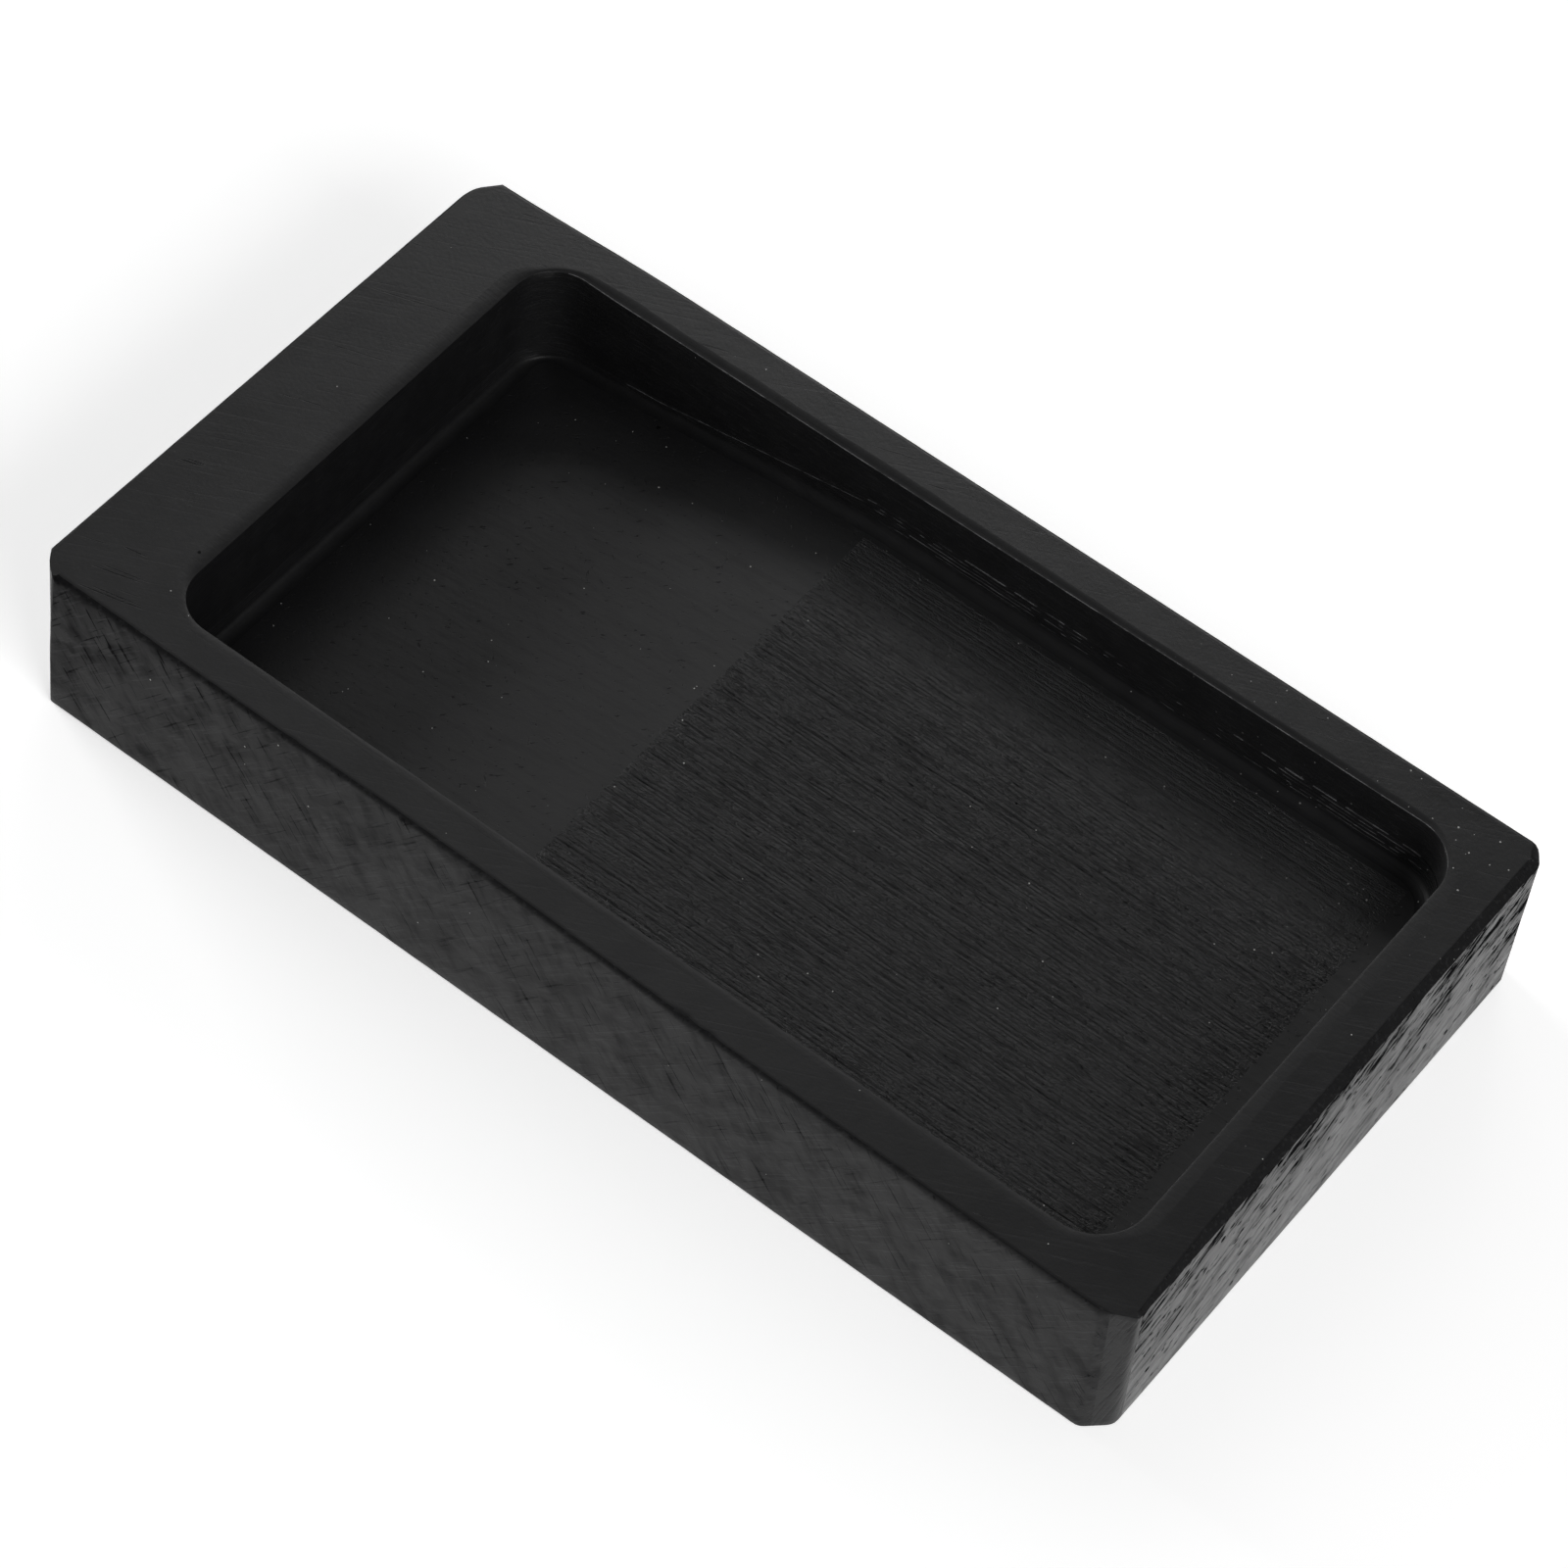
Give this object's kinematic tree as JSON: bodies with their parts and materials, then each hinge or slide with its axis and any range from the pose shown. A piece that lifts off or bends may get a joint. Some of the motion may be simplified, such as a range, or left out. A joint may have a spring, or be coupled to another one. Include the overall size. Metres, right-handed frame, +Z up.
{
  "type": "ink stone",
  "caption": "Rectangular black ink stone with a rounded pocket: a flat bed for grinding the ink stick slopes down to a deep well for the ink.",
  "frame": {"origin": "centre of the slab's underside, on the surface that it rests on", "axes": "+X along the slab from the head, with the well and the wide border, to the foot; +Y from the near long side to the far one; +Z up, out of the pocket"},
  "size_m": [0.13, 0.069, 0.02],
  "materials": {
    "black_stone": "fine-grained black stone, ground and rubbed to a dull satin"
  },
  "bodies": {
    "root": {"slab": "black_stone"}
  },
  "joints": []
}
